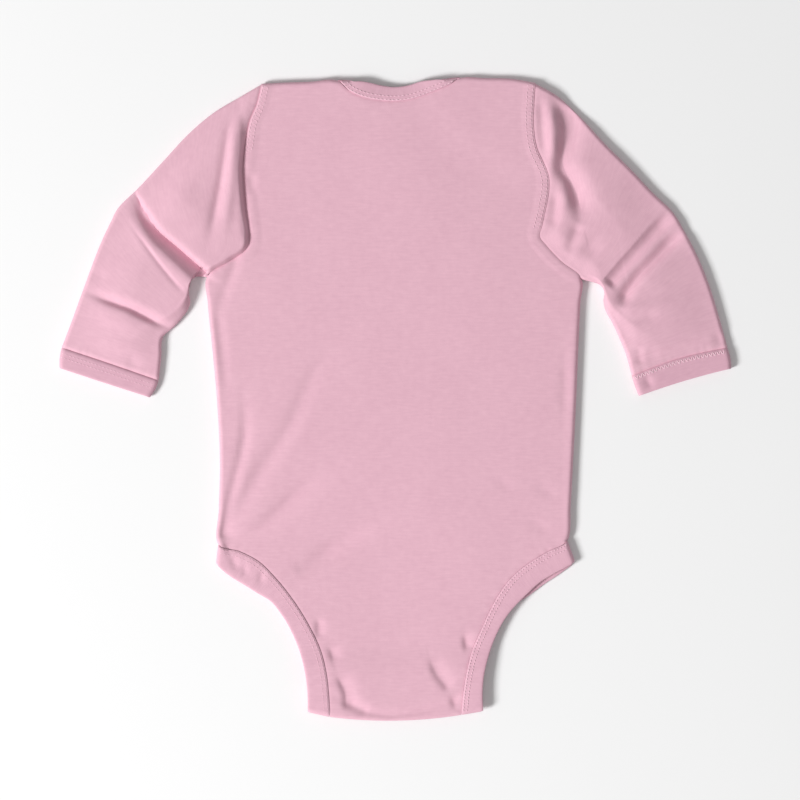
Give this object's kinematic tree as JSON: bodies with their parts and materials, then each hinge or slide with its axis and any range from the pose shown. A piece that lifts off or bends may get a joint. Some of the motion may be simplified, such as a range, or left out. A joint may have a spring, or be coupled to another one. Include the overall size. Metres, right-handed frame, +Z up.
{
  "type": "baby onesie",
  "caption": "Long-sleeved infant bodysuit of plain jersey laid flat, back up, with bound neck and leg openings, doubled cuffs and a snapped crotch.",
  "frame": {"origin": "centre of the garment's bounding box, on the surface it lies on", "axes": "+Y towards the neck, +X to the right seen from above, +Z up out of the surface, back of the garment up"},
  "size_m": [0.4294, 0.4118, 0.0069],
  "materials": {
    "jersey": "matt fine knit",
    "binding": "matt folded knit with cover stitch",
    "snap": "enamelled cap"
  },
  "bodies": {
    "root": {"back_panel": "jersey", "front_panel": "jersey", "sleeve_left": "jersey", "sleeve_right": "jersey", "cuff_left": "binding", "cuff_right": "binding", "neck_binding_back": "binding", "neck_binding_front": "binding", "leg_binding_left": "binding", "leg_binding_right": "binding", "snap_1": "snap", "snap_2": "snap", "snap_3": "snap"}
  },
  "joints": []
}
